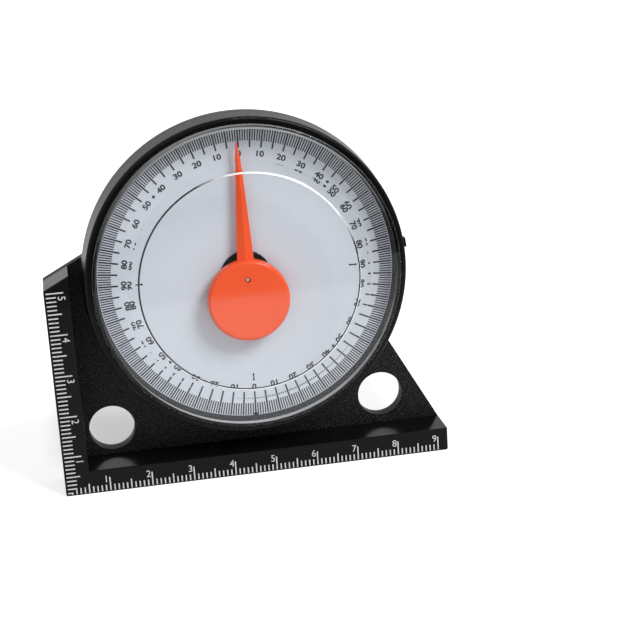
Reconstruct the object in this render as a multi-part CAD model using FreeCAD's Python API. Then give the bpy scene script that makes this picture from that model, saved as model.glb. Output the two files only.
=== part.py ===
import FreeCAD, Part
import math
import os

# Dial inclinometer with an L-shaped rule and a magnetic foot, in millimetres.
# The dial faces -Y, +Z is up, and the part stands on its magnetic foot at Z = 0.
# Depths called "height" are measured forwards from the printed face of the dial.

# Body outline
body_width = 93.1
body_depth = 13.1
foot_height = 5.7
side_rule_width = 5.95
left_edge_height = 50.45
left_slope_deg = 27.2
right_slope_deg = 61.1
shell_thickness = 1.5
cover_thickness = 1.7
rule_edge_round = 0.35
outline_corner_round = 0.5
seam_chamfer = 0.15
rear_edge_round = 0.5

# Through holes in the plate, from the nearest outer edges
hole_radius = 5.5
left_hole_inset = 12.5
left_hole_height = 12.4
right_hole_inset = 14.4
right_hole_height = 13.1

# Dial housing: the ring swells from its rim to a belt and draws in again towards the back
dial_centre_x = 0.3
dial_centre_height = 49.05
ring_front_radius = 37.45
ring_belt_swell = 0.55
ring_belt_depth = 4.7
ring_rear_draw = 0.75
ring_rim_width = 1.4
ring_front_round = 0.7
ring_wall = 2.45
rim_height = 3.3
dial_recess = 1.7
dial_floor_thickness = 1.5
lap_depth = 7.2
lap_thickness = 1.2
lap_gap = 0.12
gate_nub_angle_deg = 83.0
gate_nub_length = 2.2
gate_nub_width = 1.6
gate_nub_proud = 0.4

# Dial plate
dial_plate_thickness = 0.8
dial_plate_gap = 0.15
dial_key_radius = 2.5

# Lens
lens_crown_height = 7.4
lens_crown_radius = 28.0
lens_bevel_deg = 18.9
lens_side_radius = 35.85
lens_wall = 2.0
lens_inner_flat_radius = 26.0
lens_inner_radius = 34.9
lens_inner_slope_deg = 3.8
lens_line_radius = 25.5
lens_line_width = 0.4
lens_line_depth = 0.5
lens_flange_thickness = 1.9
lens_seat_height = 1.3
lens_fit_gap = 0.05
lens_key_angle_deg = 45.0
lens_key_length = 4.2
lens_key_depth = 0.55
lens_key_gap = 0.1

# Pivot
hub_radius = 6.0
hub_height = 0.9
hub_spigot_length = 2.0
pin_radius = 0.5
pin_end_height = 3.9
pin_boss_radius = 2.6
pin_boss_length = 3.6
pin_head_radius = 1.2
pin_head_thickness = 0.6
washer_radius = 1.7
washer_thickness = 0.3
running_clearance = 0.05

# Pointer
pointer_base_height = 1.5
pointer_disc_radius = 9.6
pointer_disc_drop = 5.1
pointer_disc_thickness = 2.8
pointer_disc_round = 0.9
needle_root_rise = 4.0
needle_root_width = 3.9
needle_root_edge = 0.7
needle_root_ridge = 1.35
needle_neck_rise = 25.5
needle_neck_width = 1.5
needle_neck_edge = 0.35
needle_neck_ridge = 0.75
needle_tip_rise = 31.0
needle_tip_width = 0.3
needle_tip_edge = 0.25
needle_tip_ridge = 0.35
sight_hole_radius = 0.65
bush_radius = 1.5
bush_length = 2.0
bush_gap_below = 0.1
weight_radius = 4.3
weight_thickness = 2.0
weight_edge = 2.1

# Magnetic foot
magnet_front_border = 1.2
magnet_end_border = 2.2
magnet_thickness = 2.0
backing_thickness = 0.8
magnet_gap = 0.05

# Screws that hold the rear cover
screw_count = 4
screw_circle_radius = 28.0
screw_first_angle_deg = 45.0
screw_shank_radius = 1.0
screw_head_radius = 2.0
screw_head_depth = 1.2
screw_length = 6.0
screw_hole_gap = 0.15
screw_slot_width = 0.5
screw_slot_depth = 0.5
screw_boss_radius = 2.4
screw_tip_room = 0.6

# Locating ring and side-rule hollow
locating_ring_gap = 0.15
locating_ring_width = 1.2
locating_ring_depth = 1.0
rule_wall = 1.6

# Places worked out from the sizes above
half_width = body_width / 2
lens_proud = lens_crown_height - dial_recess
rear_y = (body_depth + lens_proud) / 2
rule_y = rear_y - body_depth
seam_y = rear_y - cover_thickness
plate_y = seam_y - shell_thickness
dial_y = rule_y + dial_recess
floor_y = dial_y + dial_plate_thickness
floor_back_y = floor_y + dial_floor_thickness
rim_y = dial_y - rim_height
belt_y = dial_y + ring_belt_depth
ring_belt_radius = ring_front_radius + ring_belt_swell
ring_rear_radius = ring_front_radius - ring_rear_draw
lap_y = seam_y - lap_depth
lap_radius = ring_front_radius - lap_thickness
pocket_radius = ring_front_radius - ring_rim_width
well_radius = ring_front_radius - ring_wall
foot_inner_x = side_rule_width - half_width
weight_drop = pointer_disc_drop + pointer_disc_radius - weight_edge - weight_radius
left_hole = (left_hole_inset - half_width, left_hole_height)
right_hole = (half_width - right_hole_inset, right_hole_height)
Y_AXIS = FreeCAD.Vector(0, 1, 0)


def level(height):
    return dial_y - height


def disc(radius, y_front, y_back, x=0.0, z=dial_centre_height):
    return Part.makeCylinder(radius, y_back - y_front, FreeCAD.Vector(x, y_front, z), Y_AXIS)


def dial_disc(radius, y_front, y_back):
    # A disc about the ring's centre, which stands a little off the pivot.
    return disc(radius, y_front, y_back, dial_centre_x)


def slab(points, y_front, y_back):
    corners = [FreeCAD.Vector(x, y_front, z) for x, z in points]
    face = Part.Face(Part.makePolygon(corners + corners[:1]))
    return face.extrude(Y_AXIS * (y_back - y_front))


def box(x0, x1, y0, y1, z0, z1):
    return Part.makeBox(x1 - x0, y1 - y0, z1 - z0, FreeCAD.Vector(x0, y0, z0))


def turned(profile, x=0.0, z=dial_centre_height):
    # A profile of (radius, height above the dial) points, turned about the pivot axis.
    corners = [FreeCAD.Vector(x + radius, level(height), z) for radius, height in profile]
    face = Part.Face(Part.makePolygon(corners + corners[:1]))
    return face.revolve(FreeCAD.Vector(x, 0, z), Y_AXIS, 360)


def ring_radius(y):
    if y < belt_y:
        share = (y - rim_y) / (belt_y - rim_y)
        return ring_front_radius + (ring_belt_radius - ring_front_radius) * share
    share = (y - belt_y) / (rear_y - belt_y)
    return ring_belt_radius + (ring_rear_radius - ring_belt_radius) * share


def ring_body(y_front, y_back):
    # The ring's outer form between two depths, as a solid drum.
    depths = [y for y in (y_front, belt_y, y_back) if y_front <= y <= y_back]
    edge = [(ring_radius(y), dial_y - y) for y in sorted(set(depths))]
    return turned([(0, dial_y - y_front)] + edge + [(0, dial_y - y_back)], dial_centre_x)


def on_dial(radius, angle_deg):
    # A point at an angle clockwise from the top of the dial, seen from the front.
    angle = math.radians(angle_deg)
    return dial_centre_x + radius * math.sin(angle), dial_centre_height + radius * math.cos(angle)


def foot_of_slope(x, z, direction_x, direction_z):
    # The point of a sloping edge that is nearest to the dial's centre.
    along = (dial_centre_x - x) * direction_x + (dial_centre_height - z) * direction_z
    return x + along * direction_x, z + along * direction_z


def plate_points():
    right = math.radians(right_slope_deg)
    left = math.radians(left_slope_deg)
    right_end = foot_of_slope(half_width, foot_height, -math.cos(right), math.sin(right))
    left_end = foot_of_slope(-half_width, left_edge_height, math.cos(left), math.sin(left))
    return [
        (-half_width, 0.0),
        (half_width, 0.0),
        (half_width, foot_height),
        right_end,
        left_end,
        (-half_width, left_edge_height),
    ]


def plate(y_front, y_back):
    # The flat outline without the dial ring, with its outer corners rounded.
    raw = slab(plate_points(), y_front, y_back)
    outer = [(-half_width, 0.0), (half_width, 0.0), (half_width, foot_height), (-half_width, left_edge_height)]
    edges = [e for e in raw.Edges if is_post(e, outer)]
    return raw.makeFillet(outline_corner_round, edges)


def is_post(edge, places):
    box_of_edge = edge.BoundBox
    if box_of_edge.XLength > 0.001 or box_of_edge.ZLength > 0.001:
        return False
    return any(abs(box_of_edge.XMin - x) < 0.001 and abs(box_of_edge.ZMin - z) < 0.001 for x, z in places)


def edges_in_plane(shape, y, keep):
    return [e for e in shape.Edges if e.BoundBox.YLength < 0.001 and abs(e.BoundBox.YMin - y) < 0.001 and keep(e)]


def is_circle(edge, radius):
    return isinstance(edge.Curve, Part.Circle) and abs(edge.Curve.Radius - radius) < 0.001


def screw_places():
    step = 360.0 / screw_count
    return [on_dial(screw_circle_radius, screw_first_angle_deg + step * i) for i in range(screw_count)]


def through_holes(y_front, y_back):
    return [disc(hole_radius, y_front, y_back, x, z) for x, z in (left_hole, right_hole)]


def ring_block(length, inner, outer, y_front, y_back, angle_deg):
    # A block between two radii of the ring, turned clockwise from the top.
    x = dial_centre_x
    z = dial_centre_height
    block = box(x - length / 2, x + length / 2, y_front, y_back, z + inner, z + outer)
    block.rotate(FreeCAD.Vector(x, 0, z), Y_AXIS, angle_deg)
    return block


def keyed(radius, key_length, key_depth, y_front, y_back):
    # A round disc with one square key standing out of its edge.
    key = ring_block(key_length, 0, radius + key_depth, y_front, y_back, lens_key_angle_deg)
    return dial_disc(radius, y_front, y_back).fuse(key)


def gate_nub():
    # The stub that the moulding gate leaves on the side of the ring.
    y_front = rim_y + ring_front_round
    y_back = y_front + gate_nub_width
    top = ring_radius(y_back) + gate_nub_proud
    return ring_block(gate_nub_length, well_radius + 1, top, y_front, y_back, gate_nub_angle_deg)


def lap_ring(inner, y_front, y_back):
    # The stretch of ring wall that stands free of the plate, where the cover laps the housing.
    ring = ring_body(y_front, y_back).cut(dial_disc(inner, y_front, y_back))
    return ring.cut(slab(plate_points(), y_front, y_back))


def rule_bars():
    # The foot and the side rule, the two raised strips that carry the scales.
    outline = plate(rule_y, seam_y)
    foot = box(-half_width, half_width, rule_y, seam_y, 0, foot_height)
    side = box(-half_width, foot_inner_x, rule_y, seam_y, 0, left_edge_height + side_rule_width)
    bars = outline.common(foot.fuse(side)).removeSplitter()
    front = edges_in_plane(bars, rule_y, lambda e: True)
    return bars.makeFillet(rule_edge_round, front)


def magnet_pocket(gap, z0, z1):
    ends = half_width - magnet_end_border - gap
    return box(-ends, ends, rule_y + magnet_front_border + gap, seam_y - gap, z0, z1)


def front_housing():
    ring = ring_body(rim_y, seam_y)
    ring = ring.makeFillet(ring_front_round, edges_in_plane(ring, rim_y, lambda e: is_circle(e, ring_front_radius)))
    body = plate(plate_y, seam_y).fuse([rule_bars(), ring, gate_nub()])
    seat_y = level(lens_seat_height)
    notch_gap = lens_key_gap
    cuts = through_holes(plate_y, seam_y)
    cuts.append(dial_disc(pocket_radius, rim_y, seat_y))
    cuts.append(keyed(pocket_radius, lens_key_length + 2 * notch_gap, lens_key_depth + notch_gap, rim_y, seat_y))
    cuts.append(dial_disc(well_radius, seat_y, floor_y))
    cuts.append(dial_disc(well_radius, floor_back_y, seam_y))
    cuts.append(magnet_pocket(0, 0, magnet_thickness + backing_thickness))
    cuts.append(lap_ring(lap_radius, lap_y, seam_y))
    hollow_x = -half_width + rule_wall
    hollow_top = left_edge_height - rule_wall
    cuts.append(box(hollow_x, foot_inner_x - rule_wall, rule_y + rule_wall, seam_y, foot_height, hollow_top))
    body = body.cut(cuts)
    bosses = [disc(screw_boss_radius, floor_back_y, seam_y, x, z) for x, z in screw_places()]
    bosses.append(disc(pin_boss_radius, floor_back_y, floor_back_y + pin_boss_length))
    body = body.fuse(bosses)
    holes = [disc(pin_radius, floor_y, floor_back_y + pin_boss_length)]
    holes.append(disc(dial_key_radius, floor_y, floor_y + hub_spigot_length - dial_plate_thickness))
    hole_front = seam_y - (screw_length - cover_thickness) - screw_tip_room
    holes += [disc(screw_shank_radius, hole_front, seam_y, x, z) for x, z in screw_places()]
    return body.cut(holes).removeSplitter()


def rear_cover():
    body = plate(seam_y, rear_y).fuse(ring_body(seam_y, rear_y)).removeSplitter()
    body = body.makeFillet(rear_edge_round, edges_in_plane(body, rear_y, lambda e: True))
    body = body.makeChamfer(seam_chamfer, edges_in_plane(body, seam_y, lambda e: True))
    cuts = through_holes(seam_y, rear_y)
    for x, z in screw_places():
        cuts.append(disc(screw_shank_radius + screw_hole_gap, seam_y, rear_y, x, z))
        cuts.append(screw_head_cone(screw_hole_gap, x, z))
    body = body.cut(cuts)
    lip = lap_ring(lap_radius + lap_gap, lap_y + lap_gap, seam_y + seam_chamfer)
    outer = well_radius - locating_ring_gap
    locator = dial_disc(outer, seam_y - locating_ring_depth, seam_y)
    locator = locator.cut(dial_disc(outer - locating_ring_width, seam_y - locating_ring_depth, seam_y))
    return body.fuse([lip, locator]).removeSplitter()


def lens():
    # A clear cap: a flat crown with a fine turned line, a bevel, and a flange that drops into the rim.
    flange_radius = pocket_radius - lens_fit_gap
    flange_top = lens_seat_height + lens_flange_thickness
    bevel_drop = (lens_side_radius - lens_crown_radius) * math.tan(math.radians(lens_bevel_deg))
    inner_drop = (lens_inner_radius - lens_inner_flat_radius) * math.tan(math.radians(lens_inner_slope_deg))
    inner_height = lens_crown_height - lens_wall
    line_half = lens_line_width / 2
    line_floor = lens_crown_height - lens_line_depth
    profile = [
        (0, lens_crown_height),
        (lens_line_radius - line_half, lens_crown_height),
        (lens_line_radius - line_half / 2, line_floor),
        (lens_line_radius + line_half / 2, line_floor),
        (lens_line_radius + line_half, lens_crown_height),
        (lens_crown_radius, lens_crown_height),
        (lens_side_radius, lens_crown_height - bevel_drop),
        (lens_side_radius, flange_top),
        (flange_radius, flange_top),
        (flange_radius, lens_seat_height),
        (lens_inner_radius, lens_seat_height),
        (lens_inner_radius, inner_height - inner_drop),
        (lens_inner_flat_radius, inner_height),
        (0, inner_height),
    ]
    cap = turned(profile, dial_centre_x)
    key = keyed(flange_radius, lens_key_length, lens_key_depth, level(flange_top), level(lens_seat_height))
    key = key.cut(dial_disc(flange_radius - 0.5, level(flange_top), level(lens_seat_height)))
    return cap.fuse(key).removeSplitter()


def dial_plate():
    blank = dial_disc(well_radius - dial_plate_gap, dial_y, floor_y)
    return blank.cut(disc(dial_key_radius, dial_y, floor_y))


def pivot_hub():
    cap = disc(hub_radius, level(hub_height), dial_y)
    cap = cap.makeFillet(hub_height / 3, edges_in_plane(cap, level(hub_height), lambda e: True))
    spigot = disc(dial_key_radius, dial_y, dial_y + hub_spigot_length)
    return cap.fuse(spigot).cut(disc(pin_radius, level(hub_height), dial_y + hub_spigot_length)).removeSplitter()


def pivot_pin():
    shank_end = floor_back_y + pin_boss_length
    shank = disc(pin_radius, level(pin_end_height), shank_end)
    shank = shank.makeFillet(pin_radius / 2, edges_in_plane(shank, level(pin_end_height), lambda e: True))
    return shank.fuse(disc(pin_head_radius, shank_end, shank_end + pin_head_thickness)).removeSplitter()


def thrust_washer():
    y_front = level(hub_height + washer_thickness)
    y_back = level(hub_height)
    return disc(washer_radius, y_front, y_back).cut(disc(pin_radius + running_clearance, y_front, y_back))


def bush_base_height():
    return hub_height + washer_thickness + bush_gap_below


def pointer_bush():
    y_front = level(bush_base_height() + bush_length)
    y_back = level(bush_base_height())
    return disc(bush_radius, y_front, y_back).cut(disc(pin_radius + running_clearance, y_front, y_back))


def needle():
    # A ridged blade lofted through three five-sided sections.
    stations = [
        (0.0, needle_root_width, needle_root_edge, needle_root_ridge),
        (needle_root_rise, needle_root_width, needle_root_edge, needle_root_ridge),
        (needle_neck_rise, needle_neck_width, needle_neck_edge, needle_neck_ridge),
        (needle_tip_rise, needle_tip_width, needle_tip_edge, needle_tip_ridge),
    ]
    wires = []
    for rise, width, edge, ridge in stations:
        z = dial_centre_height + rise
        half = width / 2
        section = [(-half, 0), (half, 0), (half, edge), (0, ridge), (-half, edge)]
        corners = [FreeCAD.Vector(x, level(pointer_base_height + h), z) for x, h in section]
        wires.append(Part.makePolygon(corners + corners[:1]))
    return Part.makeLoft(wires, True, True)


def pointer():
    disc_z = dial_centre_height - pointer_disc_drop
    y_front = level(pointer_base_height + pointer_disc_thickness)
    y_back = level(pointer_base_height)
    body = disc(pointer_disc_radius, y_front, y_back, 0, disc_z)
    body = body.makeFillet(pointer_disc_round, edges_in_plane(body, y_front, lambda e: True))
    body = body.fuse(needle())
    weight_z = dial_centre_height - weight_drop
    cuts = [disc(sight_hole_radius, y_front, y_back)]
    cuts.append(disc(bush_radius, level(bush_base_height() + bush_length), y_back))
    cuts.append(disc(weight_radius, level(pointer_base_height + weight_thickness), y_back, 0, weight_z))
    return body.cut(cuts).removeSplitter()


def counterweight():
    y_front = level(pointer_base_height + weight_thickness)
    return disc(weight_radius, y_front, level(pointer_base_height), 0, dial_centre_height - weight_drop)


def screw_head_cone(gap, x, z):
    small = screw_shank_radius + gap
    large = screw_head_radius + gap
    base = FreeCAD.Vector(x, rear_y - screw_head_depth, z)
    return Part.makeCone(small, large, screw_head_depth, base, Y_AXIS)


def cover_screw(x, z):
    shank = disc(screw_shank_radius, rear_y - screw_length, rear_y - screw_head_depth, x, z)
    head = screw_head_cone(0, x, z)
    slot_half = screw_slot_width / 2
    slot_y = rear_y - screw_slot_depth
    reach = screw_head_radius
    slots = [
        box(x - slot_half, x + slot_half, slot_y, rear_y, z - reach, z + reach),
        box(x - reach, x + reach, slot_y, rear_y, z - slot_half, z + slot_half),
    ]
    keep = disc(screw_head_radius * 0.7, slot_y, rear_y, x, z)
    cross = slots[0].fuse(slots[1]).common(keep)
    return shank.fuse(head).removeSplitter().cut(cross)


def cover_screws():
    return Part.makeCompound([cover_screw(x, z) for x, z in screw_places()])


def magnet_strip():
    return magnet_pocket(magnet_gap, 0, magnet_thickness)


def magnet_backing():
    return magnet_pocket(magnet_gap, magnet_thickness, magnet_thickness + backing_thickness)


pieces = {
    "front_housing": front_housing,
    "rear_cover": rear_cover,
    "lens": lens,
    "dial_plate": dial_plate,
    "pivot_hub": pivot_hub,
    "pivot_pin": pivot_pin,
    "thrust_washer": thrust_washer,
    "magnet_strip": magnet_strip,
    "magnet_backing": magnet_backing,
    "cover_screws": cover_screws,
    "pointer": pointer,
    "pointer_bush": pointer_bush,
    "counterweight": counterweight,
}

os.makedirs("parts", exist_ok=True)
for name, make in pieces.items():
    shape = make()
    shape.exportStep("parts/" + name + ".step")
    size = shape.optimalBoundingBox()
    print(
        name, "solids", len(shape.Solids), "valid", shape.isValid(), "volume", round(shape.Volume, 2),
        "x", round(size.XMin, 2), round(size.XMax, 2), "y", round(size.YMin, 2), round(size.YMax, 2),
        "z", round(size.ZMin, 2), round(size.ZMax, 2),
    )
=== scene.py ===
import math

import bpy
import numpy as np
from mathutils import Euler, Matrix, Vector


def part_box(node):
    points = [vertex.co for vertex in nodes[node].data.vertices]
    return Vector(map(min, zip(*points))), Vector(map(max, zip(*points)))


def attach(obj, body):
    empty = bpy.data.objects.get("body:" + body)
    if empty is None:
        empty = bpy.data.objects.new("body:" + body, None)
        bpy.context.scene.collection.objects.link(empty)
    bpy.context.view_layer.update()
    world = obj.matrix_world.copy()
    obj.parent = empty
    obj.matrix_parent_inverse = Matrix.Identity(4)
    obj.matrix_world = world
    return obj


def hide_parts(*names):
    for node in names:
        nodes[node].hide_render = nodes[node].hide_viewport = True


# Dial inclinometer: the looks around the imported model. Lengths in the dictionaries are millimetres.
mm = 0.001

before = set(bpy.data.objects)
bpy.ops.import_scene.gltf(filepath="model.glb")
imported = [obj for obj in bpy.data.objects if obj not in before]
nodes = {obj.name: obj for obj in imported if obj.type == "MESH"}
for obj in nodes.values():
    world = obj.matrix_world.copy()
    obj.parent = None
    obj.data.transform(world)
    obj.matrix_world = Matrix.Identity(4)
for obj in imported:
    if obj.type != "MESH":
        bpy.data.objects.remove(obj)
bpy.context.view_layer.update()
print("frame loaded:", len(nodes), "nodes")

# Places read from the frame
dialLow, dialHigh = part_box("dial_plate")
dialCentre = np.array([(dialLow.x + dialHigh.x) / 2, dialLow.y, (dialLow.z + dialHigh.z) / 2])
housingLow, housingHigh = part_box("front_housing")
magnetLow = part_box("magnet_strip")[0]


# Camera: the photograph's viewpoint
cameraValues = {
    "place": (-39.26, -345.79, 141.08),
    "aim": (16.66, -3.70, 36.70),
    "rollDeg": 3.54,
    "lensMm": 86.34,
    "sensorMm": 36,
    "clipStart": 5.0,
}


def makeCamera(v):
    # Stands at place, looks along the line to aim, and is rolled clockwise about that line.
    data = bpy.data.cameras.new("camera")
    data.lens = v["lensMm"]
    data.sensor_width = v["sensorMm"]
    data.clip_start = v["clipStart"] * mm
    cam = bpy.data.objects.new("camera", data)
    bpy.context.scene.collection.objects.link(cam)
    place = Vector(v["place"]) * mm
    look = (Vector(v["aim"]) * mm - place).to_track_quat("-Z", "Y")
    cam.location = place
    cam.rotation_euler = (look @ Euler((0, 0, -math.radians(v["rollDeg"]))).to_quaternion()).to_euler()
    bpy.context.scene.camera = cam


makeCamera(cameraValues)
bpy.context.scene.view_settings.view_transform = "Standard"
print("camera set")


# Node helpers
def newMaterial(name):
    mat = bpy.data.materials.new(name)
    mat.use_nodes = True
    tree = mat.node_tree
    return mat, tree, tree.nodes["Principled BSDF"]


def addNode(tree, kind, **values):
    # Makes a node; keys that name an input set it, and the others set the node's own property.
    node = tree.nodes.new(kind)
    for key, value in values.items():
        if key in node.inputs:
            node.inputs[key].default_value = value
        else:
            setattr(node, key, value)
    return node


def mathNode(tree, operation, a, b=0.0, clamp=False):
    node = addNode(tree, "ShaderNodeMath", operation=operation, use_clamp=clamp)
    for i, value in enumerate((a, b)):
        if isinstance(value, (int, float)):
            node.inputs[i].default_value = value
        else:
            tree.links.new(value, node.inputs[i])
    return node.outputs[0]


def objectCoordinates(tree):
    return tree.nodes.new("ShaderNodeTexCoord").outputs["Object"]


def noise(tree, coordinates, scale, detail=3.0, roughness=0.55):
    node = addNode(tree, "ShaderNodeTexNoise", Scale=scale, Detail=detail, Roughness=roughness)
    tree.links.new(coordinates, node.inputs["Vector"])
    return node.outputs["Fac"]


def ramp(tree, factor, stops):
    # A colour ramp from (position, grey or colour) stops.
    node = tree.nodes.new("ShaderNodeValToRGB")
    elements = node.color_ramp.elements
    while len(elements) < len(stops):
        elements.new(0.5)
    for element, (position, colour) in zip(elements, stops):
        element.position = position
        element.color = (colour, colour, colour, 1) if isinstance(colour, float) else (*colour, 1)
    tree.links.new(factor, node.inputs["Fac"])
    return node.outputs["Color"]


def drift(tree, cloud, low, high):
    # Slides from low to high over the middle of a noise's range.
    return ramp(tree, cloud, [(0.3, low), (0.7, high)])


def bump(tree, height, distance):
    node = addNode(tree, "ShaderNodeBump", Strength=1.0, Distance=distance)
    tree.links.new(height, node.inputs["Height"])
    return node.outputs["Normal"]


# Black moulded plastic: leather grain with painted glints on the plate and the back, glossy rules, satin
# ring wall and edges.
# Depths and radii here are metres, as the shader reads them.
blackValues = {
    "colour": (0.0036, 0.0038, 0.0038),
    # The fleck colour is a painted glint: light specks on the grain that stand in for highlights.
    "paintedGlintColour": (0.085, 0.088, 0.083),
    "paintedGlintScale": 4200.0,
    "paintedGlintDetail": 1.0,
    "paintedGlintFrom": 0.575,
    "paintedGlintTo": 0.66,
    "grainScale": 2600.0,
    "grainSoftness": 0.6,
    "grainDepth": 0.00013,
    "grainRoughness": 0.34,
    "fineScale": 1.3,
    "fineDetail": 4.0,
    "fineShare": 0.6,
    "flatFrom": 0.7,
    "cloudScale": 90.0,
    "cloudDetail": 5.0,
    "cloudRoughness": 0.65,
    "cloudRange": (0.35, 0.65),
    "smoothRange": (0.12, 0.22),
    "plateDepth": (0.0059, 0.0065),
    "backEnd": 1.0,
    "ring": (0.0368, 0.0382),
    "ringRoughness": 0.33,
    "edgeRoughness": 0.5,
    "edgeDepth": (0.0059, 0.0088),
    "specular": 0.10,
}


def between(tree, value, low, high):
    # 1 where the value lies between low and high.
    above = mathNode(tree, "GREATER_THAN", value, low)
    return mathNode(tree, "MULTIPLY", above, mathNode(tree, "LESS_THAN", value, high))


def depthMask(tree, yLow, yHigh):
    # 1 between two depths behind the part's middle.
    split = tree.nodes.new("ShaderNodeSeparateXYZ")
    tree.links.new(objectCoordinates(tree), split.inputs[0])
    return between(tree, split.outputs["Y"], yLow, yHigh)


def facingMask(tree, facing, least):
    # 1 where the surface faces along Y, by at least that dot product; facing is -1 or 1.
    turn = tree.nodes.new("ShaderNodeSeparateXYZ")
    tree.links.new(tree.nodes.new("ShaderNodeNewGeometry").outputs["True Normal"], turn.inputs[0])
    return mathNode(tree, "GREATER_THAN", mathNode(tree, "MULTIPLY", turn.outputs["Y"], facing), least)


def ringMask(tree, inner, outer):
    # 1 on the dial ring's outer wall, between two distances from the dial's axis.
    split = tree.nodes.new("ShaderNodeSeparateXYZ")
    tree.links.new(objectCoordinates(tree), split.inputs[0])
    across = mathNode(tree, "SUBTRACT", split.outputs["X"], float(dialCentre[0]))
    up = mathNode(tree, "SUBTRACT", split.outputs["Z"], float(dialCentre[2]))
    across = mathNode(tree, "MULTIPLY", across, across)
    up = mathNode(tree, "MULTIPLY", up, up)
    square = mathNode(tree, "ADD", across, up)
    return between(tree, mathNode(tree, "SQRT", square), inner, outer)


def blackPlastic(name, v, grainFrom, grainTo, facing):
    # Grain is fine noise less the distance to the nearest cell's middle, and shows on flat faces between
    # two depths. Roughness is the greatest of the smooth cloud's, the grain's, the ring's and the edges'.
    mat, tree, shader = newMaterial(name)
    place = objectCoordinates(tree)
    flat = facingMask(tree, facing, v["flatFrom"])
    mask = mathNode(tree, "MULTIPLY", depthMask(tree, grainFrom, grainTo), flat)
    ring = ringMask(tree, *v["ring"])
    edge = depthMask(tree, *v["edgeDepth"])
    for other in (flat, ring):
        edge = mathNode(tree, "MULTIPLY", edge, mathNode(tree, "SUBTRACT", 1.0, other))
    cells = addNode(tree, "ShaderNodeTexVoronoi", feature="SMOOTH_F1", Scale=v["grainScale"])
    cells.inputs["Smoothness"].default_value = v["grainSoftness"]
    tree.links.new(place, cells.inputs["Vector"])
    pebbles = mathNode(tree, "MULTIPLY", cells.outputs["Distance"], -1.0)
    fine = noise(tree, place, v["grainScale"] * v["fineScale"], v["fineDetail"])
    grain = mathNode(tree, "ADD", pebbles, mathNode(tree, "MULTIPLY", fine, v["fineShare"]))
    height = mathNode(tree, "MULTIPLY", grain, mask)
    tree.links.new(bump(tree, height, v["grainDepth"]), shader.inputs["Normal"])
    cloud = noise(tree, place, v["cloudScale"], v["cloudDetail"], v["cloudRoughness"])
    rough = ramp(tree, cloud, list(zip(v["cloudRange"], v["smoothRange"])))
    for area, value in ((mask, v["grainRoughness"]), (ring, v["ringRoughness"]), (edge, v["edgeRoughness"])):
        rough = mathNode(tree, "MAXIMUM", rough, mathNode(tree, "MULTIPLY", area, value))
    tree.links.new(rough, shader.inputs["Roughness"])
    mix = addNode(tree, "ShaderNodeMix", data_type="RGBA")
    # Light flecks on the plate's grain are painted glints: random specks in the base colour that stand in
    # for highlights on its bumps.
    glintCloud = noise(tree, place, v["paintedGlintScale"], v["paintedGlintDetail"])
    paintedGlint = ramp(tree, glintCloud, [(v["paintedGlintFrom"], 0.0), (v["paintedGlintTo"], 1.0)])
    tree.links.new(mathNode(tree, "MULTIPLY", paintedGlint, mask), mix.inputs["Factor"])
    mix.inputs["A"].default_value = (*v["colour"], 1)
    mix.inputs["B"].default_value = (*v["paintedGlintColour"], 1)
    tree.links.new(mix.outputs["Result"], shader.inputs["Base Color"])
    shader.inputs["Specular IOR Level"].default_value = v["specular"]
    return mat


# Clear lens acrylic. Shadow rays and bounced light pass straight through it, so the dial keeps its light.
acrylicValues = {
    "tint": (0.985, 0.99, 0.995),
    "secondTint": (0.97, 0.98, 0.99),
    "cloudScale": 60.0,
    "cloudDetail": 2.0,
    "ior": 1.49,
    "gloss": 0.5,
    "shade": 0.93,
}


def clearAcrylic(v):
    # Smooth glass of two close tints, mixed with plain see-through on shadow and diffuse rays.
    mat, tree, shader = newMaterial("clearAcrylic")
    cloud = noise(tree, objectCoordinates(tree), v["cloudScale"], v["cloudDetail"])
    tree.links.new(drift(tree, cloud, v["tint"], v["secondTint"]), shader.inputs["Base Color"])
    shader.inputs["Roughness"].default_value = 0.0
    shader.inputs["IOR"].default_value = v["ior"]
    shader.inputs["Transmission Weight"].default_value = 1.0
    shader.inputs["Specular Tint"].default_value = (v["gloss"], v["gloss"], v["gloss"], 1)
    clear = tree.nodes.new("ShaderNodeBsdfTransparent")
    clear.inputs["Color"].default_value = (v["shade"], v["shade"], v["shade"], 1)
    rays = tree.nodes.new("ShaderNodeLightPath")
    soft = mathNode(tree, "MAXIMUM", rays.outputs["Is Shadow Ray"], rays.outputs["Is Diffuse Ray"])
    mix = tree.nodes.new("ShaderNodeMixShader")
    tree.links.new(soft, mix.inputs["Fac"])
    tree.links.new(shader.outputs[0], mix.inputs[1])
    tree.links.new(clear.outputs[0], mix.inputs[2])
    tree.links.new(mix.outputs[0], tree.nodes["Material Output"].inputs["Surface"])
    return mat


# Two turned faces of the lens, the frosted wall and the fine line, with light and shade painted into the
# base colour: dark, and painted light towards one direction, a glow on the wall and a highlight on the line
wallPaintedLightValues = {
    "toward": (0.0, 0.0, 1.0), "fromDot": -0.2, "toDot": 0.9,
    "streakScale": 900.0, "streakLift": 0.5, "roughLow": 0.3, "roughHigh": 0.45,
    "dark": (0.006, 0.006, 0.007), "light": (0.50, 0.51, 0.52), "specular": 0.1,
}
linePaintedHighlightValues = {
    "toward": (0.42, 0.0, 0.91), "fromDot": 0.36, "toDot": 0.50,
    "streakScale": 900.0, "streakLift": 0.5, "roughLow": 0.3, "roughHigh": 0.45,
    "dark": (0.010, 0.010, 0.011), "light": (0.95, 0.96, 0.97), "specular": 0.6,
}


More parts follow.
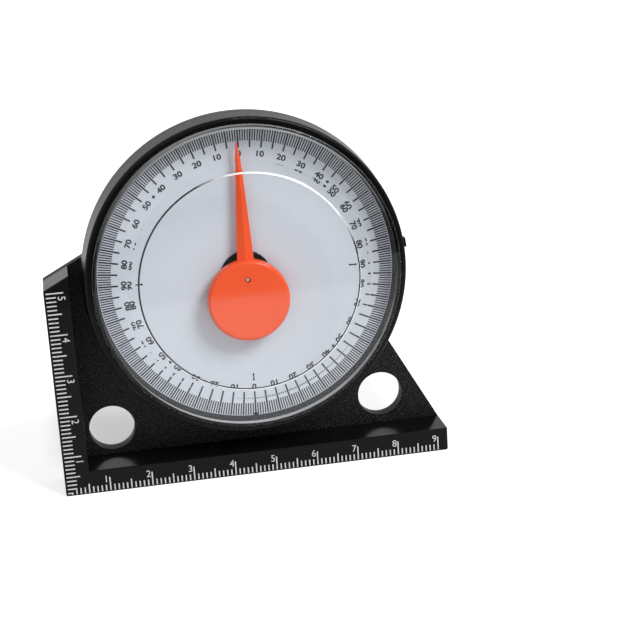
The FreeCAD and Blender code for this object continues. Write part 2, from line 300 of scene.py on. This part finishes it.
def turnedFace(name, v):
    # The painted light's share rises from 0 to 1 with the dot product of the normal and toward, times
    # streaks.
    mat, tree, shader = newMaterial(name)
    facing = addNode(tree, "ShaderNodeVectorMath", operation="DOT_PRODUCT")
    tree.links.new(tree.nodes.new("ShaderNodeNewGeometry").outputs["Normal"], facing.inputs[0])
    facing.inputs[1].default_value = v["toward"]
    span = v["toDot"] - v["fromDot"]
    past = mathNode(tree, "SUBTRACT", facing.outputs["Value"], v["fromDot"])
    lit = mathNode(tree, "DIVIDE", past, span, True)
    streaks = noise(tree, objectCoordinates(tree), v["streakScale"])
    share = mathNode(tree, "MULTIPLY", lit, mathNode(tree, "ADD", streaks, v["streakLift"]))
    tree.links.new(ramp(tree, share, [(0.0, v["dark"]), (1.0, v["light"])]), shader.inputs["Base Color"])
    tree.links.new(drift(tree, streaks, v["roughLow"], v["roughHigh"]), shader.inputs["Roughness"])
    shader.inputs["Specular IOR Level"].default_value = v["specular"]
    return mat


grainPerCloud = 25  # how much finer a plain finish's bump is than its cloud of tones


def plainFinish(name, low, high, scale, roughLow, roughHigh, metallic=0.0, grain=0.0, specular=0.5):
    # A base colour that drifts between two tones, with roughness and a slight bump from the same cloud.
    mat, tree, shader = newMaterial(name)
    place = objectCoordinates(tree)
    cloud = noise(tree, place, scale, 4.0)
    tree.links.new(drift(tree, cloud, low, high), shader.inputs["Base Color"])
    tree.links.new(drift(tree, cloud, roughLow, roughHigh), shader.inputs["Roughness"])
    shader.inputs["Metallic"].default_value = metallic
    shader.inputs["Specular IOR Level"].default_value = specular
    if grain:
        fine = noise(tree, place, scale * grainPerCloud)
        tree.links.new(bump(tree, fine, grain), shader.inputs["Normal"])
    return mat


# Plain finishes: low tone, high tone, cloud scale, low and high roughness, and what else differs
finishValues = {
    "dialCard": ((0.66, 0.71, 0.78), (0.69, 0.74, 0.81), 40, 0.45, 0.55, {"grain": 0.000004}),
    "whiteInk": ((0.50, 0.51, 0.50), (0.66, 0.67, 0.66), 900, 0.5, 0.65, {}),
    "darkInk": ((0.004, 0.005, 0.009), (0.010, 0.012, 0.018), 900, 0.5, 0.6, {}),
    "orange": ((0.98, 0.096, 0.020), (1.0, 0.108, 0.025), 120, 0.16, 0.22, {"specular": 0.25}),
    "lensEdge": ((0.006, 0.006, 0.007), (0.012, 0.012, 0.013), 800, 0.5, 0.6, {}),
    "hubBlack": ((0.003, 0.003, 0.003), (0.005, 0.005, 0.005), 200, 0.4, 0.5, {"specular": 0.1}),
    "steel": ((0.55, 0.55, 0.56), (0.66, 0.66, 0.67), 400, 0.22, 0.36, {"metallic": 1.0}),
    "zinc": ((0.50, 0.50, 0.52), (0.62, 0.62, 0.62), 900, 0.3, 0.45, {"metallic": 1.0}),
    "brass": ((0.70, 0.50, 0.22), (0.80, 0.60, 0.30), 400, 0.25, 0.4, {"metallic": 1.0}),
    "ferrite": ((0.040, 0.030, 0.026), (0.060, 0.047, 0.040), 600, 0.6, 0.75, {"grain": 0.00001}),
}
finishes = {name: plainFinish(name, *values, **more) for name, (*values, more) in finishValues.items()}
housingPlastic = blackPlastic("housingPlastic", blackValues, *blackValues["plateDepth"], -1.0)
coverPlastic = blackPlastic("coverPlastic", blackValues, housingHigh.y, blackValues["backEnd"], 1.0)
lensMaterial = clearAcrylic(acrylicValues)
# The lens's wall and line get painted light and shade from the direction they face.
wallPaintedLightMaterial = turnedFace("frostedWallPaintedLight", wallPaintedLightValues)
linePaintedHighlightMaterial = turnedFace("turnedLinePaintedHighlight", linePaintedHighlightValues)

nodeMaterials = {
    "front_housing": housingPlastic,
    "rear_cover": coverPlastic,
    "dial_plate": finishes["dialCard"],
    "pivot_hub": finishes["hubBlack"],
    "pivot_pin": finishes["steel"],
    "thrust_washer": finishes["brass"],
    "magnet_strip": finishes["ferrite"],
    "magnet_backing": finishes["zinc"],
    "cover_screws": finishes["zinc"],
    "pointer": finishes["orange"],
    "pointer_bush": finishes["brass"],
    "counterweight": finishes["zinc"],
    "lens": lensMaterial,
}
for node, material in nodeMaterials.items():
    for slot in nodes[node].material_slots:
        slot.material = material
print("materials on the nodes")


# Meshes
def addPiece(name, points, faces, material, body, smooth=False):
    mesh = bpy.data.meshes.new(name)
    mesh.from_pydata([tuple(p) for p in points], [], [tuple(f) for f in faces])
    mesh.materials.append(material)
    mesh.polygons.foreach_set("use_smooth", [smooth] * len(mesh.polygons))
    mesh.update()
    obj = bpy.data.objects.new(name, mesh)
    bpy.context.scene.collection.objects.link(obj)
    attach(obj, body)
    return obj


def inkPlates(quads, yFace, thickness):
    # Each quad (four x, z corners) becomes a closed plate standing out of the face at yFace.
    # Corner k of plate n is vertex 8n + k at the front and 8n + 4 + k at the back.
    quads = np.asarray(quads, float)
    count = len(quads)
    front = np.dstack([quads[..., 0], np.full((count, 4), yFace - thickness), quads[..., 1]])
    back = front.copy()
    back[..., 1] = yFace
    points = np.concatenate([front, back], axis=1).reshape(-1, 3)
    pattern = np.array([[0, 1, 2, 3], [7, 6, 5, 4], [1, 0, 4, 5], [2, 1, 5, 6], [3, 2, 6, 7], [0, 3, 7, 4]])
    faces = (np.arange(count)[:, None, None] * 8 + pattern[None]).reshape(-1, 4)
    return points, faces


def bar(x0, x1, z0, z1):
    return [(x0, z0), (x1, z0), (x1, z1), (x0, z1)]


curveSteps = 4  # straight runs to each curved part of a number's outline


def glyphs(text, size, stretch, x, z, turnDeg, yFace, thickness, bold=0.0):
    # One number as a closed mesh: the font's outline is extruded, centred, stretched sideways, turned
    # clockwise by the angle and moved to (x, z), with its back on the face.
    curve = bpy.data.curves.new("number", "FONT")
    curve.body = text
    curve.size = size
    curve.align_x = "CENTER"
    curve.align_y = "CENTER"
    curve.extrude = thickness / 2
    curve.offset = bold
    curve.resolution_u = curveSteps
    holder = bpy.data.objects.new("number", curve)
    bpy.context.scene.collection.objects.link(holder)
    bpy.context.view_layer.update()
    mesh = bpy.data.meshes.new_from_object(holder.evaluated_get(bpy.context.evaluated_depsgraph_get()))
    flat = np.zeros(len(mesh.vertices) * 3)
    mesh.vertices.foreach_get("co", flat)
    flat = flat.reshape(-1, 3)
    faces = [list(p.vertices) for p in mesh.polygons]
    bpy.data.objects.remove(holder)
    bpy.data.meshes.remove(mesh)
    bpy.data.curves.remove(curve)
    middle = (flat[:, :2].min(0) + flat[:, :2].max(0)) / 2
    u = (flat[:, 0] - middle[0]) * stretch
    w = flat[:, 1] - middle[1]
    a = math.radians(turnDeg)
    px = x + u * math.cos(a) + w * math.sin(a)
    pz = z - u * math.sin(a) + w * math.cos(a)
    py = yFace - thickness / 2 - flat[:, 2]
    return np.column_stack([px, py, pz]), faces


def joined(parts):
    # Puts several (points, faces) pairs into one.
    points = []
    faces = []
    start = 0
    for p, f in parts:
        points.append(p)
        faces += [[start + i for i in face] for face in f]
        start += len(p)
    return np.concatenate(points), faces


# The clear lens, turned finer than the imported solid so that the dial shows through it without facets
lensValues = {
    "crownHeight": 7.4,
    "crownRadius": 28.0,
    "bevelDeg": 18.9,
    "sideRadius": 35.85,
    "wall": 2.0,
    "innerFlat": 26.0,
    "innerRadius": 34.9,
    "innerSlopeDeg": 3.8,
    "lineRadius": 25.5,
    "lineWidth": 0.42,
    "lineDepth": 0.25,
    "flangeRadius": 36.0,
    "flangeTop": 3.2,
    "seat": 1.3,
    "crownRound": 0.3,
    "footRound": 0.3,
    "keyDeg": 45.0,
    "keyLength": 4.2,
    "keyDepth": 0.55,
    "keyWithin": 0.01,
    "sharpDeg": 2.0,
    "steps": 720,
}


def roundedCorner(before, corner, after, radius, count=16):
    # Arc of the given radius that touches both straight runs at a corner of a profile.
    a = np.array(before) - corner
    b = np.array(after) - corner
    a /= np.linalg.norm(a)
    b /= np.linalg.norm(b)
    half = math.acos(float(a @ b)) / 2
    middle = corner + (a + b) / np.linalg.norm(a + b) * radius / math.sin(half)
    start = corner + a * radius / math.tan(half) - middle
    end = corner + b * radius / math.tan(half) - middle
    whole = math.acos(float(start @ end) / radius**2)
    t = np.linspace(0, 1, count + 1)[:, None]
    return middle + (np.sin((1 - t) * whole) * start + np.sin(t * whole) * end) / math.sin(whole)


def lensProfile(v):
    # (radius, height above the dial): turned line, crown, bevel, side, flange, and back along the inside.
    # The line is a lopsided notch, as deep as lineDepth at 0.9 of its width.
    top = v["crownHeight"]
    across = v["lineRadius"] + v["lineWidth"] * np.array([-0.5, 0.4, 0.5])
    line = np.column_stack([across, top - v["lineDepth"] * np.array([0, 1, 0])])
    foot = top - (v["sideRadius"] - v["crownRadius"]) * math.tan(math.radians(v["bevelDeg"]))
    crownEdge = np.array([v["crownRadius"], top])
    bevelEdge = np.array([v["sideRadius"], foot])
    sideFoot = np.array([v["sideRadius"], v["flangeTop"]])
    inner = top - v["wall"]
    drop = (v["innerRadius"] - v["innerFlat"]) * math.tan(math.radians(v["innerSlopeDeg"]))
    rest = [
        sideFoot,
        (v["flangeRadius"], v["flangeTop"]),
        (v["flangeRadius"], v["seat"]),
        (v["innerRadius"], v["seat"]),
        (v["innerRadius"], inner - drop),
        (v["innerFlat"], inner),
    ]
    crown = roundedCorner(line[-1], crownEdge, bevelEdge, v["crownRound"])
    bevel = roundedCorner(crownEdge, bevelEdge, sideFoot, v["footRound"])
    # The line's slope and the flange's hidden faces are dark, and the inside of the wall is frosted; the
    # wall and the line carry painted light and shade.
    finish = np.concatenate([[3], [0] * (len(line) + len(crown) + len(bevel)), [2, 2, 1, 0]])
    return np.concatenate([line, crown, bevel, rest]), finish


def makeLens(v):
    # Each profile point goes round the dial's axis: x = radius sin a, z = radius cos a, y = -height.
    # Over the key's length the flange's edge stands out by the key's depth.
    profile, finish = lensProfile(v)
    profile = profile * mm
    steps = v["steps"]
    angle = np.linspace(0, 2 * math.pi, steps, endpoint=False)
    radius = np.repeat(profile[:, :1], steps, axis=1)
    onFlange = profile[:, 0] > (v["flangeRadius"] - v["keyWithin"]) * mm
    overKey = np.abs(angle - math.radians(v["keyDeg"])) < v["keyLength"] / v["flangeRadius"] / 2
    radius[np.ix_(onFlange, overKey)] += v["keyDepth"] * mm
    height = np.repeat(profile[:, 1:], steps, axis=1)
    grid = np.stack([radius * np.sin(angle), -height, radius * np.cos(angle)], axis=-1).reshape(-1, 3)
    poles = np.array([[0, -v["crownHeight"], 0], [0, v["wall"] - v["crownHeight"], 0]]) * mm
    points = np.concatenate([grid, poles]) + dialCentre
    rows = len(profile)
    index = np.arange(rows * steps).reshape(rows, steps)
    onward = np.roll(index, -1, axis=1)
    quads = np.stack([index[:-1], onward[:-1], onward[1:], index[1:]], axis=-1).reshape(-1, 4).tolist()
    front = np.column_stack([np.full(steps, rows * steps), onward[0], index[0]]).tolist()
    back = np.column_stack([np.full(steps, rows * steps + 1), index[-1], onward[-1]]).tolist()
    lens = addPiece("lens_cap", points, quads + front + back, lensMaterial, "housing", smooth=True)
    lens.data.set_sharp_from_angle(angle=math.radians(v["sharpDeg"]))
    for material in (wallPaintedLightMaterial, finishes["lensEdge"], linePaintedHighlightMaterial):
        lens.data.materials.append(material)
    perFace = np.concatenate([np.repeat(finish, steps), [0] * 2 * steps])
    lens.data.polygons.foreach_set("material_index", perFace.astype(np.int32))
    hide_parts("lens")


makeLens(lensValues)
print("lens turned")


# The rule's print on the foot and the side
ruleValues = {
    "beforeMagnet": 1.25,
    "zeroX": 0.55,
    "zeroZ": -0.2,
    "footLength": 90,
    "sideLength": 50,
    "corners": 2,
    "tickWidth": 0.30,
    "footTicks": (1.45, 2.25, 3.35),
    "sideTicks": (2.25, 3.2, 4.0),
    "footStart": 0.4,
    "sideStart": 0.5,
    "numberSize": 2.45,
    "numberStretch": 0.95,
    "footNumber": (-0.85, 3.35),
    "sideNumber": (4.0, -1.3),
    "inkThickness": 0.02,
}


def ruleTick(i, lengths):
    # Tens are longest, fives next and the rest short.
    return lengths[2] if i % 10 == 0 else lengths[1] if i % 5 == 0 else lengths[0]


def rulePrint(v):
    # Mark i stands i mm from the zero. Foot marks rise from the bottom edge and side marks run in from the
    # left edge, and the first ones end where the two rows meet.
    yFace = magnetLow.y - v["beforeMagnet"] * mm
    ink = v["inkThickness"] * mm
    left = housingLow.x
    half = v["tickWidth"] / 2
    quads = []
    for i in range(1, v["footLength"] + 1):
        x = left / mm + v["zeroX"] + i
        start = v["footStart"]
        end = start + ruleTick(i, v["footTicks"]) if i > v["corners"] else v["zeroZ"] + i - half
        quads.append(bar(x - half, x + half, start, end))
    for i in range(1, v["sideLength"] + 1):
        z = v["zeroZ"] + i
        start = left / mm + v["sideStart"]
        end = start + ruleTick(i, v["sideTicks"]) if i > v["corners"] else left / mm + v["zeroX"] + i + half
        quads.append(bar(start, end, z - half, z + half))
    parts = [inkPlates(np.array(quads) * mm, yFace, ink)]
    size = v["numberSize"] * mm
    stretch = v["numberStretch"]
    for i in range(10, v["footLength"] + 1, 10):
        x = left + (v["zeroX"] + i + v["footNumber"][0]) * mm
        z = v["footNumber"][1] * mm
        parts.append(glyphs(str(i // 10), size, stretch, x, z, 0, yFace, ink))
    for i in range(10, v["sideLength"] + 1, 10):
        x = left + v["sideNumber"][0] * mm
        z = (v["zeroZ"] + i + v["sideNumber"][1]) * mm
        parts.append(glyphs(str(i // 10), size, stretch, x, z, 90, yFace, ink))
    points, faces = joined(parts)
    addPiece("rule_print", points, faces, finishes["whiteInk"], "housing")


rulePrint(ruleValues)
print("rule printed")


# The dial's print, whose centre and turn are a little off the ring's, with a dark margin outside the ticks
dialValues = {
    "offset": (0.0, 0.25),
    "turnDeg": 0.5,
    "tickOuter": 33.72,
    "tickInner": 30.55,
    "fiveInner": 29.0,
    "tickWidth": 0.29,
    "fiveWidth": 0.38,
    "numberRadius": 27.55,
    "numberSize": 1.85,
    "numberStretch": 1.12,
    "numberBold": 0.065,
    "markInner": 24.45,
    "markOuter": 25.8,
    "markWidth": 0.28,
    "markEnd": 0.3,
    "diamond": 0.45,
    "arrowInner": 32.7,
    "arrowTip": 0.04,
    "arrowWidth": 1.3,
    "marginInner": 33.86,
    "marginOuter": 34.83,
    "marginSteps": 360,
    "inkThickness": 0.015,
}
printCentre = dialCentre[[0, 2]] + np.array(dialValues["offset"]) * mm


def onPrint(angleDeg, radius):
    # A point of the print at an angle clockwise from its own top.
    a = math.radians(angleDeg + dialValues["turnDeg"])
    return printCentre + radius * mm * np.array([math.sin(a), math.cos(a)])


def outFrom(angleDeg):
    # 1 mm steps outwards and clockwise at an angle of the print.
    a = math.radians(angleDeg + dialValues["turnDeg"])
    return np.array([math.sin(a), math.cos(a)]) * mm, np.array([math.cos(a), -math.sin(a)]) * mm


def radialBar(angleDeg, inner, outer, width):
    # A straight mark between two radii.
    along, across = outFrom(angleDeg)
    across = across * width / 2
    return [printCentre + c for c in (
        along * inner - across, along * inner + across, along * outer + across, along * outer - across
    )]


def diamondAt(angleDeg, radius, half):
    # Four points, half in, across, out and across from a centre on the print.
    along, across = outFrom(angleDeg)
    centre = onPrint(angleDeg, radius)
    return [centre - along * half, centre + across * half, centre + along * half, centre - across * half]


def darkMargin(v):
    # A closed flat ring: its inner edge follows the print's centre, and its outer edge the dial's.
    a = np.linspace(0, 2 * math.pi, v["marginSteps"], endpoint=False)
    circle = np.column_stack([np.sin(a), np.cos(a)])
    inner = printCentre + circle * v["marginInner"] * mm
    outer = dialCentre[[0, 2]] + circle * v["marginOuter"] * mm
    front = dialCentre[1] - v["inkThickness"] * mm
    loops = [(inner, front), (outer, front), (outer, dialCentre[1]), (inner, dialCentre[1])]
    points = np.concatenate([np.column_stack([p[:, 0], np.full(len(p), y), p[:, 1]]) for p, y in loops])
    index = np.arange(4 * v["marginSteps"]).reshape(4, -1)
    onward = np.roll(index, -1, axis=1)
    below = np.roll(index, -1, axis=0)
    belowOnward = np.roll(below, -1, axis=1)
    return points, np.stack([index, onward, belowOnward, below], axis=-1).reshape(-1, 4)


def dialPrint(v):
    # A tick each degree, longer each five, a number each ten that counts from 0 to 90 and back, a mark
    # with diamond ends each quarter, a diamond halfway between, and a wedge at the bottom.
    quads = []
    for degree in range(360):
        kind = "five" if degree % 5 == 0 else "tick"
        quads.append(radialBar(degree, v[kind + "Inner"], v["tickOuter"], v[kind + "Width"]))
    for quarter in range(4):
        quads.append(radialBar(quarter * 90, v["markInner"], v["markOuter"], v["markWidth"]))
        for end in ("markInner", "markOuter"):
            quads.append(diamondAt(quarter * 90, v[end], v["markEnd"]))
        quads.append(diamondAt(quarter * 90 + 45, v["numberRadius"], v["diamond"]))
    tip = onPrint(180, v["arrowInner"])
    along, across = outFrom(180)
    base = onPrint(180, v["marginInner"])
    narrow = across * (v["arrowTip"] / 2)
    wide = across * v["arrowWidth"] / 2
    quads.append([tip - narrow, tip + narrow, base + wide, base - wide])
    ink = v["inkThickness"] * mm
    size = v["numberSize"] * mm
    bold = v["numberBold"] * mm
    parts = [inkPlates(quads, dialCentre[1], ink), darkMargin(v)]
    for degree in range(0, 360, 10):
        value = min(degree % 180, 180 - degree % 180)
        x, z = onPrint(degree, v["numberRadius"])
        turn = degree + v["turnDeg"]
        parts.append(glyphs(str(value), size, v["numberStretch"], x, z, turn, dialCentre[1], ink, bold))
    points, faces = joined(parts)
    addPiece("dial_print", points, faces, finishes["darkInk"], "housing")


dialPrint(dialValues)
print("dial printed")


# Floor, white surround and lamps. Places on the floor are metres, as the shader reads them.
stageValues = {
    "floorSize": 6.0,
    "floorLow": 0.79,
    "floorHigh": 0.81,
    "fibreScale": 300.0,
    "floorRoughness": 0.9,
    "floorLift": 0.62,
    "paperFront": -0.165,
    "paperSoft": 0.012,
    "darkBeyond": 0.2,
    "paintedShadowPatch": (0.052, 0.012, 0.080),
    "paintedShadowSoft": 0.014,
    "paintedShadowLift": 0.25,
    "surround": 0.42,
}
lampValues = {
    "key": {"toward": (0.62, -0.62, 0.78), "angleDeg": 24.0, "strength": 2.4},
    "fill": {"toward": (-0.75, -0.60, 0.45), "angleDeg": 60.0, "strength": 0.35},
}


def sunLamp(name, v):
    # A sun that shines from the direction toward, as soft as its angle.
    data = bpy.data.lights.new(name, "SUN")
    data.angle = math.radians(v["angleDeg"])
    data.energy = v["strength"]
    lamp = bpy.data.objects.new(name, data)
    bpy.context.scene.collection.objects.link(lamp)
    lamp.location = Vector(v["toward"])
    lamp.rotation_euler = Vector(v["toward"]).to_track_quat("Z", "Y").to_euler()


def straightRays(tree):
    # 1 on rays from the camera, or by way of gloss or glass, and 0 on rays that only carry light.
    rays = tree.nodes.new("ShaderNodeLightPath")
    seen = mathNode(tree, "MAXIMUM", rays.outputs["Is Camera Ray"], rays.outputs["Is Glossy Ray"])
    return mathNode(tree, "MAXIMUM", seen, rays.outputs["Is Transmission Ray"])


def makeFloor(v):
    # White paper that glows for direct rays. In reflections it is dark beyond a line in front of the tool,
    # and it glows less in a soft-edged patch behind the plate, a painted shadow.
    s = v["floorSize"]
    mesh = bpy.data.meshes.new("floor")
    mesh.from_pydata([(-s, -s, 0), (s, -s, 0), (s, s, 0), (-s, s, 0)], [], [(0, 1, 2, 3)])
    mat, tree, shader = newMaterial("floorPaper")
    split = tree.nodes.new("ShaderNodeSeparateXYZ")
    tree.links.new(objectCoordinates(tree), split.inputs[0])
    past = mathNode(tree, "SUBTRACT", v["paperFront"], split.outputs["Y"])
    beyond = mathNode(tree, "DIVIDE", past, v["paperSoft"], True)
    mirrored = tree.nodes.new("ShaderNodeLightPath").outputs["Is Glossy Ray"]
    far = mathNode(tree, "MULTIPLY", beyond, mirrored)
    fibres = noise(tree, objectCoordinates(tree), v["fibreScale"])
    mix = addNode(tree, "ShaderNodeMix", data_type="RGBA")
    tree.links.new(far, mix.inputs["Factor"])
    tree.links.new(drift(tree, fibres, v["floorLow"], v["floorHigh"]), mix.inputs["A"])
    mix.inputs["B"].default_value = (v["darkBeyond"], v["darkBeyond"], v["darkBeyond"], 1)
    tree.links.new(mix.outputs["Result"], shader.inputs["Base Color"])
    shader.inputs["Roughness"].default_value = v["floorRoughness"]
    shader.inputs["Specular IOR Level"].default_value = 0.0
    # The patch behind the plate, where the paper glows less, is a painted shadow.
    side, near, back = v["paintedShadowPatch"]
    inside = 1.0
    aside = mathNode(tree, "ABSOLUTE", split.outputs["X"])
    depth = split.outputs["Y"]
    for high, low in ((side, aside), (depth, near), (back, depth)):
        share = mathNode(tree, "DIVIDE", mathNode(tree, "SUBTRACT", high, low), v["paintedShadowSoft"], True)
        inside = mathNode(tree, "MULTIPLY", inside, share)
    paintedShadowDim = mathNode(tree, "MULTIPLY", inside, v["paintedShadowLift"] - v["floorLift"])
    glow = mathNode(tree, "ADD", paintedShadowDim, v["floorLift"])
    glow = mathNode(tree, "MULTIPLY", glow, mathNode(tree, "SUBTRACT", 1.0, far))
    lift = tree.nodes.new("ShaderNodeEmission")
    tree.links.new(mathNode(tree, "MULTIPLY", straightRays(tree), glow), lift.inputs["Strength"])
    both = tree.nodes.new("ShaderNodeAddShader")
    tree.links.new(shader.outputs[0], both.inputs[0])
    tree.links.new(lift.outputs[0], both.inputs[1])
    tree.links.new(both.outputs[0], tree.nodes["Material Output"].inputs["Surface"])
    mesh.materials.append(mat)
    floor = bpy.data.objects.new("floor", mesh)
    bpy.context.scene.collection.objects.link(floor)


def makeWorld(v):
    # White at strength 1 for direct rays, and at the surround's strength as light.
    world = bpy.data.worlds.new("surround")
    world.use_nodes = True
    tree = world.node_tree
    back = tree.nodes["Background"]
    rest = mathNode(tree, "MULTIPLY", straightRays(tree), 1.0 - v["surround"])
    tree.links.new(mathNode(tree, "ADD", rest, v["surround"]), back.inputs["Strength"])
    back.inputs["Color"].default_value = (1, 1, 1, 1)
    bpy.context.scene.world = world


makeFloor(stageValues)
makeWorld(stageValues)
for name, values in lampValues.items():
    sunLamp(name + "Lamp", values)
print("studio set")
